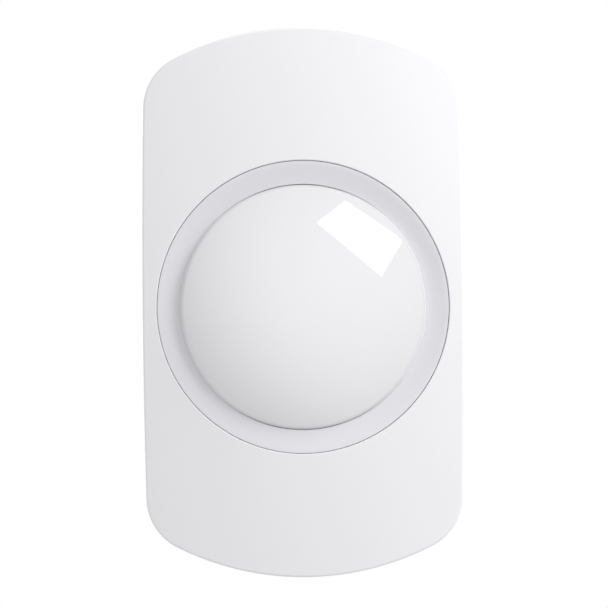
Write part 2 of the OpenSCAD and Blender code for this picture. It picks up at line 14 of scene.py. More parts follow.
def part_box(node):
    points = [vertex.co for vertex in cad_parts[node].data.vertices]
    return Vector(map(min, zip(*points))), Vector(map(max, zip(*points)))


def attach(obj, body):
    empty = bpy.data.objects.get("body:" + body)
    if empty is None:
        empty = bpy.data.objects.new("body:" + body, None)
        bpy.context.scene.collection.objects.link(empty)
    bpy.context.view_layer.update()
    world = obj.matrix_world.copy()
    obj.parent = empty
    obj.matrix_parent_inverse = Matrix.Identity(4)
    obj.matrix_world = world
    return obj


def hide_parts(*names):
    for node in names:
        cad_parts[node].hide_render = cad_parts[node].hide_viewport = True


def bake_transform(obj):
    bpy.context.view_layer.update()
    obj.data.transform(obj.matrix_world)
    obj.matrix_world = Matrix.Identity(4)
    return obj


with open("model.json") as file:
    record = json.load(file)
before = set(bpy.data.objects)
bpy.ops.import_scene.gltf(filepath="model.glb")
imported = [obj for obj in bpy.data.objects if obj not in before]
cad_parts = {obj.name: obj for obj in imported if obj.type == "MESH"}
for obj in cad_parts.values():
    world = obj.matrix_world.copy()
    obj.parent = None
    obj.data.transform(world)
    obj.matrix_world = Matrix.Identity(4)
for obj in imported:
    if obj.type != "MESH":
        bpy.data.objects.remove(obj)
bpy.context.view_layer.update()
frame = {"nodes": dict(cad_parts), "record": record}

MM = 0.001
TO_ROW = Matrix(((MM, 0, 0, 0), (0, 0, -MM, 0), (0, MM, 0, 0), (0, 0, 0, 1)))
SMOOTH_ANGLE = radians(32)


def row(x, y, z):
    """A point of the body's own millimetres, in the frame's metres."""
    return TO_ROW @ Vector((x, y, z))


class Box:
    """A box in the body's own millimetres."""

    def __init__(self, x, y, z):
        self.x, self.y, self.z = x, y, z

    def middle(self):
        return (sum(self.x) / 2, sum(self.y) / 2)

    def size(self):
        return [side[1] - side[0] for side in (self.x, self.y, self.z)]


def box_between(low, high):
    """The box between two corners in the frame's metres."""
    return Box((low.x / MM, high.x / MM), (low.z / MM, high.z / MM), (-high.y / MM, -low.y / MM))


def node_box(node):
    """The box of a CAD node."""
    return box_between(*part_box(node))


def parts(node):
    """The boxes of a CAD node's separate solids, from left to right."""
    obj = frame["nodes"][node]
    places = [obj.matrix_world @ v.co for v in obj.data.vertices]
    keys = [tuple(round(c / MM, 2) for c in p) for p in places]
    owner = {key: key for key in keys}

    def root(key):
        while owner[key] != key:
            key = owner[key]
        return key

    for face in obj.data.polygons:
        first = root(keys[face.vertices[0]])
        for v in face.vertices[1:]:
            owner[root(keys[v])] = first
    groups = {}
    for key, place in zip(keys, places):
        groups.setdefault(root(key), []).append(place)
    boxes = []
    for group in groups.values():
        low = Vector([min(p[i] for p in group) for i in range(3)])
        high = Vector([max(p[i] for p in group) for i in range(3)])
        boxes.append(box_between(low, high))
    return sorted(boxes, key=lambda box: (round(box.x[0], 1), round(box.y[0], 1)))


def arc(start, end, steps):
    """Angles from start to end, in radians, given in degrees."""
    return [radians(start + (end - start) * i / steps) for i in range(steps + 1)]


def mix(a, b, t):
    return a + (b - a) * t


def around(middle, half):
    """The stretch that reaches half to each side of middle."""
    return (middle - half, middle + half)


# ---- mesh building


def new_object(name, data):
    """A Blender object, in the scene."""
    obj = bpy.data.objects.new(name, data)
    bpy.context.scene.collection.objects.link(obj)
    return obj


def heading(path, i):
    """The way a path runs at its point i."""
    return Vector(path[min(i + 1, len(path) - 1)]) - Vector(path[max(i - 1, 0)])


class Form:
    """A mesh under construction, made of closed solids."""

    def __init__(self):
        self.bm = bmesh.new()

    def loft(self, rings, wrap=False, turn=None):
        """Joins rings of equally many points. wrap joins the last to the first instead of closing both."""
        made = [[self.bm.verts.new(turn @ Vector(p) if turn else p) for p in ring] for ring in rings]
        count = len(made[0])
        pairs = list(zip(made, made[1:])) + ([(made[-1], made[0])] if wrap else [])
        for a, b in pairs:
            for i in range(count):
                j = (i + 1) % count
                self.bm.faces.new((a[i], a[j], b[j], b[i]))
        if not wrap:
            self.bm.faces.new(list(reversed(made[0])))
            self.bm.faces.new(made[-1])

    def lathe(self, profile, at=(0, 0), steps=96, wrap=False, turn=None):
        """Turns a profile of (radius, z) about the z axis through at."""
        rings = [
            [(at[0] + r * cos(a), at[1] + r * sin(a), z) for a in arc(0, 360, steps)[:-1]]
            for r, z in profile
        ]
        self.loft(rings, wrap, turn)

    def block(self, x, y, z, edge=0.1, segments=2, turn=None):
        """A box with rounded edges."""
        middle = Matrix.Translation([sum(side) / 2 for side in (x, y, z)])
        size = Matrix.Diagonal([side[1] - side[0] for side in (x, y, z)] + [1])
        place = middle @ size if turn is None else turn @ middle @ size
        made = bmesh.ops.create_cube(self.bm, size=1, matrix=place)["verts"]
        edges = list({e for v in made for e in v.link_edges})
        if edge:
            bmesh.ops.bevel(self.bm, geom=edges, offset=edge, segments=segments, profile=0.5, affect="EDGES")

    def ribbon(self, path, width, thickness, across):
        """A flat strip along a path, width across and thickness the other way."""
        side = Vector(across).normalized() * width / 2
        rings = []
        for i, point in enumerate(path):
            here = Vector(point)
            up = heading(path, i).cross(side).normalized() * thickness / 2
            rings.append([here - side - up, here + side - up, here + side + up, here - side + up])
        self.loft(rings)

    def wire(self, path, radius, sides=10):
        """A round wire along a path."""
        rings = []
        for i, point in enumerate(path):
            ahead = heading(path, i).normalized()
            u = ahead.cross(Vector((0, 0, 1))).normalized() * radius
            v = ahead.cross(u).normalized() * radius
            rings.append([Vector(point) + u * cos(a) + v * sin(a) for a in arc(0, 360, sides)[:-1]])
        self.loft(rings)

    def thread(self, at, core, crest, low, high, pitch, turn=None, steps=20):
        """A helical ridge round a shank, which fades out at both ends."""
        count = int(abs(high - low) / pitch * steps)
        way = copysign(pitch / steps, high - low)
        section = ((0, -0.38), (1, -0.08), (1, 0.08), (0, 0.38))
        rings = []
        for i in range(count + 1):
            a = 2 * pi * i / steps
            z = low + way * i
            reach = mix(core, crest, min(1, 2 * i / steps, 2 * (count - i) / steps))
            ring = []
            for out, along in section:
                r = reach if out else core - 0.08
                ring.append((at[0] + r * cos(a), at[1] + r * sin(a), z + along * pitch))
            rings.append(ring)
        self.loft(rings, turn=turn)

    def mesh(self, name):
        """The mesh in the frame's metres, which uses the form up."""
        bmesh.ops.recalc_face_normals(self.bm, faces=self.bm.faces)
        self.bm.transform(TO_ROW)
        made = bpy.data.meshes.new(name)
        self.bm.to_mesh(made)
        self.bm.free()
        return made

    def piece(self, name, body, slot, replaced=(), look=None, cut=None):
        """The finished Blender object, riding on its body, with the solids of cut taken out of it.
        It has its slot's material, or the one that look names."""
        bmesh.ops.remove_doubles(self.bm, verts=self.bm.verts, dist=0.0004)
        bmesh.ops.dissolve_degenerate(self.bm, edges=self.bm.edges, dist=0.0002)
        obj = new_object(name, self.mesh(name))
        smooth(obj.data)
        weighted = obj.modifiers.new("face_normals", "WEIGHTED_NORMAL")
        weighted.keep_sharp = True
        obj.data.materials.append(FINISH[look or slot])
        if replaced:
            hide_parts(*replaced)
        if body:
            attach(obj, body)
        if cut:
            carve(obj, cut)
        return obj


def smooth(mesh):
    """Smooth shading, but for the edges that are meant to be sharp."""
    mesh.shade_smooth()
    mesh.set_sharp_from_angle(angle=SMOOTH_ANGLE)


def carve(obj, form):
    """Cuts the solids of form out of a finished piece."""
    cutter = new_object("cutter", form.mesh("cutter"))
    cut = obj.modifiers.new("carve", "BOOLEAN")
    cut.solver = "EXACT"
    cut.object = cutter
    cut.use_self = True
    obj.modifiers.move(len(obj.modifiers) - 1, 0)
    bpy.context.view_layer.update()
    shaped = bpy.data.meshes.new_from_object(obj.evaluated_get(bpy.context.evaluated_depsgraph_get()))
    obj.modifiers.remove(cut)
    obj.data = shaped
    bpy.data.objects.remove(cutter)
    smooth(shaped)


# ---- materials


def set_inputs(tree, node, inputs):
    """Sets a node's inputs, each to a value or to another node's output."""
    for socket, value in inputs.items():
        if isinstance(value, bpy.types.NodeSocket):
            tree.links.new(value, node.inputs[socket])
        else:
            node.inputs[socket].default_value = value


def add_node(tree, kind, inputs=None):
    """A new shader node of that kind, with its inputs set."""
    node = tree.nodes.new("ShaderNode" + kind)
    set_inputs(tree, node, inputs or {})
    return node


def surface(name, colour, roughness, *, metal=0.0, mottle=0.02, patch=14.0, grain=0.15, relief=0.004,
            rough_spread=0.05, streak=None):
    """A Principled material with faint colour patches, uneven gloss and a fine grain.
    patch and grain are the sizes of the patches and the grain, and relief the grain's depth, in mm."""
    made = bpy.data.materials.new(name)
    made.use_nodes = True
    tree = made.node_tree
    place = add_node(tree, "TexCoord").outputs["Object"]
    if streak:
        place = add_node(tree, "Mapping", {"Vector": place, "Scale": streak}).outputs["Vector"]

    def noise(size, detail):
        inputs = {"Vector": place, "Scale": 1 / (size * MM), "Detail": detail}
        return add_node(tree, "TexNoise", inputs).outputs["Fac"]

    tint = tree.nodes.new("ShaderNodeMix")
    tint.data_type = "RGBA"
    darker = (*[c * (1 - mottle) for c in colour], 1)
    lighter = (*[min(1, c * (1 + mottle)) for c in colour], 1)
    set_inputs(tree, tint, {0: noise(patch, 3), 6: darker, 7: lighter})
    gloss = add_node(tree, "MapRange", {"Value": noise(patch * 0.4, 4),
                                        "To Min": max(0.02, roughness - rough_spread),
                                        "To Max": roughness + rough_spread})
    bump = add_node(tree, "Bump", {"Height": noise(grain, 2), "Strength": 1.0, "Distance": relief * MM})
    set_inputs(tree, tree.nodes["Principled BSDF"], {
        "Base Color": tint.outputs[2], "Metallic": metal, "Roughness": gloss.outputs["Result"],
        "Normal": bump.outputs["Normal"]})
    return made


def milky_lens():
    """Glossy milky polyethylene. Light spreads under its skin, so it shades more softly than its
    shape: the normal under the gloss leans towards the lens's axis."""
    made = surface("milky_polyethylene", (0.89, 0.89, 0.905), 0.3, mottle=0.006, patch=20, grain=0.6,
                   relief=0.0002)
    tree = made.node_tree
    set_inputs(tree, tree.nodes["Principled BSDF"], {
        "Specular IOR Level": 0.0, "Coat Weight": 1.0, "Coat IOR": 1.5, "Coat Roughness": 0.03})
    normal = add_node(tree, "NewGeometry").outputs["Normal"]
    axis = tree.nodes.new("ShaderNodeVectorTransform")
    axis.vector_type = "NORMAL"
    axis.convert_from, axis.convert_to = "OBJECT", "WORLD"
    set_inputs(tree, axis, {0: (0, -1, 0)})
    facing = tree.nodes.new("ShaderNodeVectorMath")
    facing.operation = "DOT_PRODUCT"
    set_inputs(tree, facing, {0: normal, 1: axis.outputs[0]})
    # the most it leans is 0.72 of the way, and where the surface faces inwards it doesn't lean
    share = add_node(tree, "MapRange", {"Value": facing.outputs["Value"], "From Max": 0.5, "To Max": 0.72})
    lean = tree.nodes.new("ShaderNodeMix")
    lean.data_type = "VECTOR"
    set_inputs(tree, lean, {0: share.outputs["Result"], 4: normal, 5: axis.outputs[0]})
    unit = tree.nodes.new("ShaderNodeVectorMath")
    unit.operation = "NORMALIZE"
    set_inputs(tree, unit, {0: lean.outputs[1]})
    set_inputs(tree, tree.nodes["Bump"], {"Normal": unit.outputs["Vector"]})
    return made


def housing_plastics():
    """Fine satin ABS: smoothest on the ring round the lens, and coarsest on the base."""
    return {
        "cover_plastic": surface(
            "satin_white_abs", (0.86, 0.86, 0.875), 0.42, mottle=0.006, patch=30, relief=0.0015),
        "housing_plastic": surface(
            "housing_white_abs", (0.84, 0.84, 0.85), 0.46, mottle=0.008, patch=24, relief=0.002),
        "bezel_plastic": surface(
            "bezel_white_abs", (0.77, 0.77, 0.795), 0.38, mottle=0.006, patch=26, relief=0.001),
    }


def moulded_plastics():
    """The inner mouldings, from the housing's white to the component colours."""
    return {
        "inner_plastic": surface(
            "inner_white_abs", (0.8, 0.8, 0.8), 0.45, mottle=0.012, patch=10, relief=0.002),
        "terminal_plastic": surface(
            "green_nylon", (0.03, 0.3, 0.14), 0.36, mottle=0.06, patch=5, relief=0.003),
        "relay_plastic": surface("relay_case", (0.78, 0.78, 0.76), 0.5, mottle=0.03, patch=3),
        "chip_plastic": surface(
            "black_moulding", (0.03, 0.03, 0.035), 0.55, mottle=0.15, patch=1.5, grain=0.06, relief=0.006),
        "dip_plastic": surface(
            "red_thermoplastic", (0.5, 0.04, 0.03), 0.34, mottle=0.05, patch=4, relief=0.003),
        "slider_plastic": surface(
            "white_acetal", (0.86, 0.86, 0.84), 0.3, mottle=0.015, patch=2, relief=0.002),
        "trimmer_plastic": surface(
            "blue_thermoplastic", (0.03, 0.13, 0.5), 0.38, mottle=0.05, patch=3, relief=0.003),
        "switch_plastic": surface("dark_switch_case", (0.06, 0.06, 0.065), 0.45, mottle=0.08, patch=3),
    }


def rubbers():
    """Open-cell foam of the seal, and the harder rubber of the grommet."""
    return {
        "seal_rubber": surface(
            "foam_rubber", (0.12, 0.12, 0.13), 0.85, mottle=0.14, patch=2, grain=0.35, relief=0.05),
        "grommet_rubber": surface(
            "moulded_rubber", (0.1, 0.1, 0.11), 0.6, mottle=0.08, patch=3, grain=0.18, relief=0.006),
    }


def metals():
    """Plated steel, brass and aluminium; streak stretches the grain along the way it was worked."""
    fine = {"metal": 1.0, "rough_spread": 0.08}
    return {
        "screw_steel": surface(
            "zinc_plate", (0.62, 0.63, 0.65), 0.3, mottle=0.06, patch=2, grain=0.1, relief=0.002, **fine),
        "clip_steel": surface(
            "phosphated_steel", (0.35, 0.35, 0.37), 0.42, mottle=0.1, patch=1.5, grain=0.08,
            relief=0.003, **fine),
        "can_steel": surface(
            "nickel_plate", (0.68, 0.67, 0.64), 0.26, mottle=0.05, patch=2.5, grain=0.3, relief=0.002,
            streak=(1, 1, 0.15), **fine),
        "gold_contacts": surface(
            "gold_plate", (0.83, 0.66, 0.32), 0.24, mottle=0.05, patch=2, grain=0.12, relief=0.001, **fine),
        "brass_contacts": surface(
            "brass_plate", (0.76, 0.6, 0.33), 0.3, mottle=0.07, patch=2, grain=0.2, relief=0.002,
            streak=(0.2, 1, 1), **fine),
        "capacitor_aluminium": surface(
            "drawn_aluminium", (0.6, 0.61, 0.63), 0.28, mottle=0.04, patch=3, grain=0.12, relief=0.003,
            streak=(1, 0.08, 1), **fine),
        "tinned_leads": surface(
            "tinned_leads", (0.72, 0.71, 0.69), 0.34, mottle=0.08, patch=1, grain=0.1, relief=0.002,
            **fine),
        "solder": surface(
            "solder", (0.74, 0.74, 0.75), 0.3, mottle=0.1, patch=0.8, grain=0.2, relief=0.008, **fine),
    }


def ceramics_and_glass():
    """Fired ceramics, the dark infrared filter and the lamp's cloudy epoxy."""
    made = {
        "sensor_ceramic": surface("alumina", (0.85, 0.82, 0.74), 0.7, mottle=0.04, patch=1),
        "chip_ceramic": surface("tan_ceramic", (0.5, 0.38, 0.24), 0.5, mottle=0.12, patch=1.2, grain=0.08),
        "infrared_window": surface(
            "silicon_filter", (0.08, 0.07, 0.09), 0.08, mottle=0.15, patch=2, grain=0.5, relief=0.0003,
            rough_spread=0.02),
        "led_glass": surface(
            "diffused_epoxy", (0.75, 0.78, 0.84), 0.12, mottle=0.02, patch=1.5, grain=0.1, relief=0.0005),
    }
    shader = made["led_glass"].node_tree.nodes["Principled BSDF"]
    shader.inputs["Transmission Weight"].default_value = 0.45
    return made


def board_surfaces():
    """The board's solder mask, and the tracks that show through it."""
    return {
        "board_laminate": surface(
            "green_solder_mask", (0.02, 0.17, 0.08), 0.26, mottle=0.12, patch=7, grain=0.45, relief=0.003),
        "board_tracks": surface(
            "masked_copper", (0.05, 0.28, 0.12), 0.24, mottle=0.08, patch=4, grain=0.3, relief=0.002),
    }


def all_finishes():
    """Materials by the record's slot names, and a few for parts of one node."""
    made = {"lens_plastic": milky_lens()}
    for group in (housing_plastics, moulded_plastics, rubbers, metals, ceramics_and_glass, board_surfaces):
        made.update(group())
    return made


FINISH = all_finishes()


# ---- outline of the body

cover_box = node_box("front_cover")
dome_box = node_box("lens_dome")
HALF_W = cover_box.x[1]
HALF_H = cover_box.y[1]
LENS_Y = dome_box.middle()[1]
ARCH_R = 56.8  # radius of the arched ends
CORNER_R = 11.0
SIDE_R = 2100.0  # the sides are very slightly bowed
FACE_DEPTH = 33.5  # wall to the middle of the cover's front face
BOW_R = 150.0  # front face, side to side
CROWN_R = 500.0  # front face, top to bottom


def corner_centre():
    """Centre of the corner arc that touches both the side's arc and the end's arc."""
    side_c = Vector((HALF_W - SIDE_R, 0))
    arch_c = Vector((0, HALF_H - ARCH_R))
    a, b = SIDE_R - CORNER_R, ARCH_R - CORNER_R
    gap = arch_c - side_c
    along = (a * a - b * b + gap.length_squared) / (2 * gap.length)
    out = sqrt(a * a - along * along)
    unit = gap.normalized()
    return side_c + unit * along + Vector((-unit.y, unit.x)) * out


CORNER = corner_centre()
SIDE_END = degrees(atan2(CORNER.y, CORNER.x - (HALF_W - SIDE_R)))
ARCH_START = degrees(atan2(CORNER.y - (HALF_H - ARCH_R), CORNER.x))


def outline_angles(side=30, corner=16, arch=30):
    """Directions in which the outline faces, all the way round, in radians."""
    quarter = arc(0, SIDE_END, side)[:-1] + arc(SIDE_END, ARCH_START, corner)[:-1] + arc(ARCH_START, 90, arch)
    half = quarter + [pi - a for a in reversed(quarter[:-1])]
    return half + [pi + a for a in half[1:-1]]


def outline(angle, inset):
    """The outline's point that faces angle, moved in by inset."""
    facing = Vector((abs(cos(angle)), abs(sin(angle))))
    turned = degrees(atan2(facing.y, facing.x))
    if turned < SIDE_END:
        centre, radius = Vector((HALF_W - SIDE_R, 0)), SIDE_R
    elif turned < ARCH_START:
        centre, radius = CORNER, CORNER_R
    else:
        centre, radius = Vector((0, HALF_H - ARCH_R)), ARCH_R
    point = centre + facing * (radius - inset)
    return Vector((copysign(point.x, cos(angle)), copysign(point.y, sin(angle))))


def face_z(x, y):
    """Distance from the wall to the cover's front face."""
    ring = CROWN_R - BOW_R + sqrt(BOW_R**2 - x**2)
    return FACE_DEPTH - CROWN_R + sqrt(ring**2 - y**2)


# ---- front cover, bezel and lens

COVER_WALL = 2.0
PARTING_Z = 12.1
PARTING_EDGE = 0.2
LIP_RELIEF = 0.3  # how much thinner the cover's wall is where it laps the base's lip
LIP_LAP = 2.0
DOME_R = 24.3  # radius of the dome where it meets the bezel
DOME_LOW = 31.6  # level where the dome turns down into its skirt
DISH_DROP = 0.9  # from the bezel's rim down to its inner edge
DOME_RISE = dome_box.z[1] - DOME_LOW
DOME_SPHERE_R = (DOME_R**2 + DOME_RISE**2) / (2 * DOME_RISE)
DOME_SPHERE_Z = dome_box.z[1] - DOME_SPHERE_R
OPENING_R = 29.0
OPENING_EDGE = 0.25
OUTER_EDGE = 0.5
COLLAR_R = 30.9  # collar inside the cover, round the opening
COLLAR_Z = 26.1
COLLAR_EDGE = 0.15
FLANGE_Z = 25.0  # back of the bezel's flange
LENS_SEAT = 27.5  # where the lens's flange meets the bezel

# The cover's rings all have one point for each of these directions
OUTLINE_ANGLES = outline_angles()
SPOKES = [atan2(p.y - LENS_Y, p.x) for p in (outline(a, 0) for a in OUTLINE_ANGLES)]


def round_ring(radius, drop=None, z=None):
    """A circle about the lens, at z or drop below the face."""
    ring = []
    for s in SPOKES:
        x, y = radius * cos(s), LENS_Y + radius * sin(s)
        ring.append((x, y, face_z(x, y) - drop if z is None else z))
    return ring


def contour_ring(inset, drop=None, z=None, at=None):
    """The outline moved in by inset, at z or drop below where the face is over the inset at."""
    ring = []
    for a in OUTLINE_ANGLES:
        p = outline(a, inset)
        level = outline(a, inset if at is None else at)
        ring.append((p.x, p.y, face_z(level.x, level.y) - drop if z is None else z))
    return ring


def between_ring(radius, inset, t, drop):
    """A share t of the way from a circle about the lens to the outline, drop below the face."""
    ring = []
    for s, a in zip(SPOKES, OUTLINE_ANGLES):
        p = outline(a, inset)
        x = mix(radius * cos(s), p.x, t)
        y = mix(LENS_Y + radius * sin(s), p.y, t)
        ring.append((x, y, face_z(x, y) - drop))
    return ring


def into_wall(ring):
    """Where the collar meets the side wall, the ring's points gather on the wall."""
    gathered = []
    for point, wall in zip(ring, contour_ring(COVER_WALL, z=COLLAR_Z)):
        room = hypot(wall[0], wall[1] - LENS_Y) - OUTER_EDGE - 0.3
        gathered.append(wall if room < COLLAR_R else point)
    return gathered


def cover_outside():
    """Rings up through the opening, over the face and down the outside to the parting line."""
    rings = [round_ring(OPENING_R, z=COLLAR_Z + COLLAR_EDGE), round_ring(OPENING_R, drop=1.2)]
    for a in arc(0, 90, 5):
        radius = OPENING_R + OPENING_EDGE * (1 - cos(a))
        rings.append(round_ring(radius, drop=OPENING_EDGE * (1 - sin(a))))
    steps = 12
    for i in range(1, steps):
        rings.append(between_ring(OPENING_R + OPENING_EDGE, OUTER_EDGE, i / steps, 0))
    for a in arc(0, 90, 6):
        inset, drop = OUTER_EDGE * (1 - sin(a)), OUTER_EDGE * (1 - cos(a))
        rings.append(contour_ring(inset, drop, at=OUTER_EDGE))
    rings += [contour_ring(0, z=z) for z in (FACE_DEPTH - 7, 22, 18, 14, PARTING_Z + PARTING_EDGE)]
    corner = 0.3 * PARTING_EDGE
    return rings + [contour_ring(corner, z=PARTING_Z + corner), contour_ring(PARTING_EDGE, z=PARTING_Z)]


def cover_inside():
    """Rings from the parting line up the inner wall, under the face and down the collar."""
    # the wall is bowed and the base's lip is straight, so the wall is thinner where they lap
    lap, lap_top = COVER_WALL - LIP_RELIEF, PARTING_Z + LIP_LAP
    rings = [contour_ring(lap - PARTING_EDGE, z=PARTING_Z)]
    rings += [contour_ring(lap, z=z) for z in (PARTING_Z + PARTING_EDGE, lap_top)]
    rings += [contour_ring(COVER_WALL, z=z) for z in (lap_top + LIP_RELIEF, 18, 22, COLLAR_Z)]
    for a in arc(0, 90, 4):
        inset = COVER_WALL + OUTER_EDGE * (1 - cos(a))
        drop = COVER_WALL + OUTER_EDGE * (1 - sin(a))
        rings.append(into_wall(contour_ring(inset, drop, at=COVER_WALL + OUTER_EDGE)))
    steps = 6
    for i in range(1, steps):
        ring = between_ring(COLLAR_R, COVER_WALL + OUTER_EDGE, 1 - i / steps, COVER_WALL)
        rings.append(into_wall(ring))
    rings.append(into_wall(round_ring(COLLAR_R, drop=COVER_WALL)))
    rings.append(into_wall(round_ring(COLLAR_R, z=COLLAR_Z + COLLAR_EDGE)))
    rings.append(into_wall(round_ring(COLLAR_R - COLLAR_EDGE, z=COLLAR_Z)))
    return rings + [round_ring(OPENING_R + COLLAR_EDGE, z=COLLAR_Z)]


def cover_shell():
    """The front cover: an arched shell with a round opening, posts, hooks and a tamper post."""
    form = Form()
    form.loft(cover_outside() + cover_inside(), wrap=True)
    cover_bosses(form)
    cover_hooks(form)
    tamper_post(form)
    form.piece("cover_shell", "cover", "cover_plastic", ["front_cover"])


def inner_face(x, y):
    """A level just inside the plastic of the cover's face, where posts may end."""
    return face_z(x, y) - COVER_WALL + 0.4


def cover_bosses(form):
    """Four posts round the opening that the retainer screws bite into."""
    reach, radius, bore, edge = 33, 3, 1.05, 0.2
    for angle in (50, 130, 230, 310):
        x = reach * cos(radians(angle))
        y = LENS_Y + reach * sin(radians(angle))
        top = inner_face(x, y)
        form.lathe([(bore, top - 0.5), (bore, FLANGE_Z + edge), (bore + edge, FLANGE_Z),
                    (radius - edge, FLANGE_Z), (radius, FLANGE_Z + edge), (radius, top - 0.5)],
                   (x, y), 48, wrap=True)


def cover_hooks(form):
    """Two curved tabs at the top edge, on which the cover swings."""
    inner, outer, half_w = 5.2, 6.4, 2.0
    for side in (-9, 9):
        rings = []
        for i, a in enumerate(arc(196, 320, 24)):
            edge = 0.35 if i == 24 else 0.12
            sides = [(inner + edge, -half_w), (inner, -half_w + edge), (inner, half_w - edge),
                     (inner + edge, half_w), (outer - edge, half_w), (outer, half_w - edge),
                     (outer, -half_w + edge), (outer - edge, -half_w)]
            rings.append([(side + w, HALF_H + r * sin(a), PARTING_Z - 0.1 - r * cos(a))
                          for r, w in sides])
        form.loft(rings)


def tamper_post(form):
    """The post that holds the tamper plunger down, with its two ribs."""
    plunger = node_box("tamper_plunger")
    x, y = plunger.middle()
    tip = plunger.z[1] + 0.1
    top = inner_face(x, y) - 0.3
    radius, edge, rib, thick, step = 2, 0.3, 3.5, 0.6, 3
    form.lathe([(0, tip), (radius - edge, tip), (radius, tip + edge), (radius, top), (0, top)], (x, y), 40)
    form.block(around(x, rib), around(y, thick), (tip + step, top), 0.15)
    form.block(around(x, thick), around(y, rib), (tip + step, top), 0.15)


def screw_lug():
    """Tongue at the bottom of the cover that the captive screw passes through."""
    half_w, front, back, root, edge = 4.5, -49.8, -45.6, -HALF_H + 1, 0.3
    low, shelf, top, bore_r = 5.6, 12.7, 17.0, 1.5

    def section(x, i):
        return [(x, front + i, low + i), (x, back - i, low + i), (x, back - i, top - i),
                (x, root + i, top - i), (x, root + i, shelf + i), (x, front + i, shelf + i)]

    form, bore = Form(), Form()
    form.loft([section(-half_w, edge), section(edge - half_w, 0), section(half_w - edge, 0),
               section(half_w, edge)])
    bore.lathe([(bore_r, front - 1), (bore_r, back + 1)], steps=48, turn=lying(node_box("cover_screw")))
    form.piece("screw_lug", "cover", "cover_plastic", cut=bore)


def bezel_ring():
    """Dished ring between the cover and the lens; its rim follows the cover's face."""
    inner_r, seat_r, rim_r, flange_r = DOME_R + 0.02, 27.4, 28.92, 29.6
    flange_front, edge, bevel = FLANGE_Z + 1, 0.3, 0.1
    steps, dish_steps = 288, 16

    def ring(radius, z=None, drop=0.0):
        """A circle at z or, following the rim, drop below it."""
        points = []
        for s in arc(0, 360, steps)[:-1]:
            rim = face_z(rim_r * cos(s), LENS_Y + rim_r * sin(s)) - 0.12
            level = rim - drop if z is None else z
            points.append((radius * cos(s), LENS_Y + radius * sin(s), level))
        return points

    rings = [ring(inner_r, LENS_SEAT), ring(inner_r, drop=DISH_DROP + 0.03)]
    rings.append(ring(inner_r + bevel, drop=DISH_DROP))
    for i in range(1, dish_steps + 1):
        t = i / dish_steps
        rings.append(ring(mix(inner_r + bevel, rim_r - 2 * edge, t), drop=mix(DISH_DROP, 0.1, t**1.15)))
    for a in arc(45, 0, 4):
        rings.append(ring(rim_r - edge + edge * cos(a), drop=edge - edge * sin(a)))
    rings += [ring(rim_r, flange_front), ring(flange_r - bevel, flange_front),
              ring(flange_r, flange_front - bevel), ring(flange_r, FLANGE_Z + bevel),
              ring(flange_r - bevel, FLANGE_Z), ring(seat_r, FLANGE_Z), ring(seat_r, LENS_SEAT)]
    form = Form()
    form.loft(rings, wrap=True)
    form.piece("bezel_ring", "cover", "bezel_plastic", ["lens_bezel"])


def lens_shell():
    """Milky dome: smooth outside, fine ring-shaped grooves inside, and a flange behind the bezel."""
    wall, roll, sphere_r, centre_z = 1.0, 2.0, DOME_SPHERE_R, DOME_SPHERE_Z
    # near its edge the dome rolls over into an upright skirt
    spread = degrees(asin((DOME_R - roll) / (sphere_r - roll)))
    roll_z = centre_z + (sphere_r - roll) * cos(radians(spread))
    outside = [(sphere_r * sin(a), centre_z + sphere_r * cos(a)) for a in arc(0, spread, 64)]
    outside += [(DOME_R - roll + roll * sin(a), roll_z + roll * cos(a))
                for a in arc(spread, 90, 8)[1:]]
    flange_r, back, bevel = 27.2, LENS_SEAT - 1, 0.1
    skirt = [(DOME_R, LENS_SEAT), (flange_r - bevel, LENS_SEAT), (flange_r, LENS_SEAT - bevel),
             (flange_r, back + bevel), (flange_r - bevel, back), (DOME_R - wall, back)]
    grooves, depth, slope, inner_r = 36, 0.12, 0.92, sphere_r - wall
    limit = asin((DOME_R - wall) / inner_r)
    inside = []
    for i in range(grooves, 0, -1):
        for share, extra in ((i, 0), (i - slope, depth)):
            a = limit * share / grooves
            inside.append(((inner_r + extra) * sin(a), centre_z + (inner_r + extra) * cos(a)))
    inside.append((0, centre_z + inner_r))
    form = Form()
    form.lathe(outside + skirt + inside, (0, LENS_Y), 192)
    form.piece("lens_shell", "cover", "lens_plastic", ["lens_dome"])


# ---- fastenings

CROSS = ((1, 0.14), (0.14, 1))  # the two arms of a cross recess, as shares of its reach


def lying(box):
    """Turns the z axis to y, at the middle of the box's depth."""
    return Matrix.Translation((0, 0, sum(box.z) / 2)) @ Matrix.Rotation(radians(-90), 4, "X")


def cross_cut(form, at, top, bottom, reach, turn=None):
    """The solids that leave a cross recess in a screw's head."""
    for along, across in CROSS:
        form.block(around(at[0], reach * along), around(at[1], reach * across), sorted((top, bottom)), 0,
                   turn=turn)


def pan_screws(name, node, body, way):
    """Pan-head tapping screws; way is 1 where the head faces out and -1 where it faces the wall."""
    head_r, head_h, core, crest, pitch, recess, reach = 2.4, 1.5, 0.8, 1.0, 0.8, 0.8, 1.5
    form, cut = Form(), Form()
    for box in parts(node):
        top, tip = (box.z[1], box.z[0]) if way > 0 else box.z
        at, seat = box.middle(), top - way * head_h
        profile = [(0, tip), (0.3, tip), (core, tip + way * 1.2), (core, seat)]
        profile += [(head_r - 0.12, seat), (head_r, seat + way * 0.12), (head_r, seat + way * 0.5)]
        profile += [(1.6 + 0.8 * cos(a), seat + way * (0.5 + sin(a))) for a in arc(15, 90, 6)]
        form.lathe(profile + [(0, top)], at, 40)
        form.thread(at, core, crest, tip + way * 0.7, seat - way * 0.3, pitch)
        cross_cut(cut, at, top + way, top - way * recess, reach)
    form.piece(name, body, "screw_steel", [node], cut=cut)


